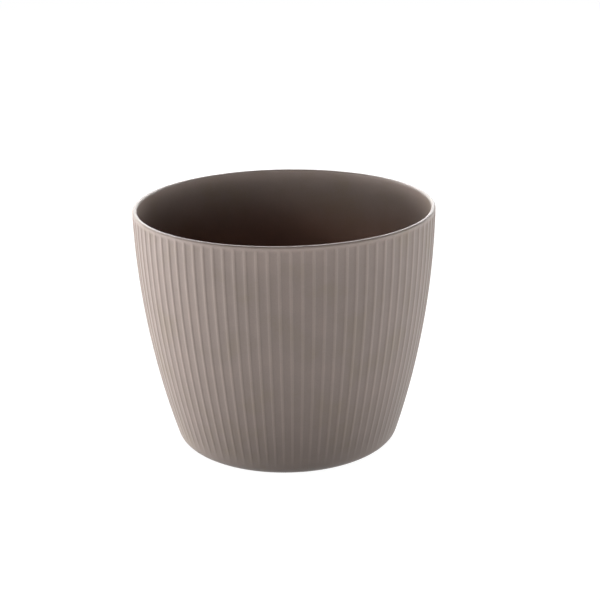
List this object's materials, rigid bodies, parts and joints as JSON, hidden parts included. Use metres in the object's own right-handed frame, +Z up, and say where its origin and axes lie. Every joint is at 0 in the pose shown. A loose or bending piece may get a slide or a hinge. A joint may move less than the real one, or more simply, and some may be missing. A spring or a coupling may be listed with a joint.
{
  "type": "self watering planter",
  "caption": "Round ribbed plastic pot with a water reservoir under a lift-out perforated floor, with wicking baskets, fill tube, float gauge and drain bung.",
  "frame": {"origin": "middle of the foot ring, on the surface that the pot stands on", "axes": "+Z up through the pot's mouth, -Y towards the front, where the fill tube and the gauge stand close to the wall"},
  "size_m": [0.1999, 0.2, 0.1625],
  "materials": {
    "pot_plastic": "satin moulded polypropylene, warm taupe",
    "insert_plastic": "satin moulded recycled polypropylene, charcoal",
    "seal_rubber": "matt",
    "pin_steel": "drawn stainless wire",
    "white_plastic": "satin acetal, off-white",
    "float_foam": "fine closed-cell foam",
    "indicator_red": "gloss moulded plastic, red",
    "clear_plastic": "clear moulded polycarbonate"
  },
  "bodies": {
    "pot": {"outer_pot": "pot_plastic"},
    "bung": {"drain_plug": "insert_plastic", "plug_seal_ring": "seal_rubber"},
    "insert": {"separator_plate": "insert_plastic", "wicking_cup_1": "insert_plastic", "wicking_cup_2": "insert_plastic", "wicking_cup_3": "insert_plastic", "support_leg_1": "insert_plastic", "support_leg_2": "insert_plastic", "support_leg_3": "insert_plastic", "support_leg_4": "insert_plastic", "fill_tube": "insert_plastic", "tube_collar": "insert_plastic", "fill_funnel": "insert_plastic", "funnel_strainer": "insert_plastic", "cap_hinge_pin": "pin_steel", "gauge_tube": "insert_plastic", "float_cage": "insert_plastic", "rod_guide": "white_plastic", "gauge_scale": "white_plastic", "sight_cap": "clear_plastic", "tube_bracket": "insert_plastic"},
    "cap": {"fill_cap": "insert_plastic"},
    "gauge_float": {"float_body": "float_foam", "float_rod": "white_plastic", "rod_clip": "pin_steel", "indicator_head": "indicator_red"}
  },
  "joints": [
    {"name": "insert_lift", "type": "slide", "parent": "pot", "child": "insert", "axis": [0, 0, 1], "range_m": [0, 0.165]},
    {"name": "bung_pull", "type": "slide", "parent": "pot", "child": "bung", "axis": [0, 0, 1], "range_m": [0, 0.02]},
    {"name": "cap_flip", "type": "hinge", "parent": "insert", "child": "cap", "pos_m": [-0.018, -0.0765, 0.1415], "axis": [1, 0, 0], "range_deg": [0, 105]},
    {"name": "float_rise", "type": "slide", "parent": "insert", "child": "gauge_float", "axis": [0, 0, 1], "range_m": [0, 0.02]}
  ]
}
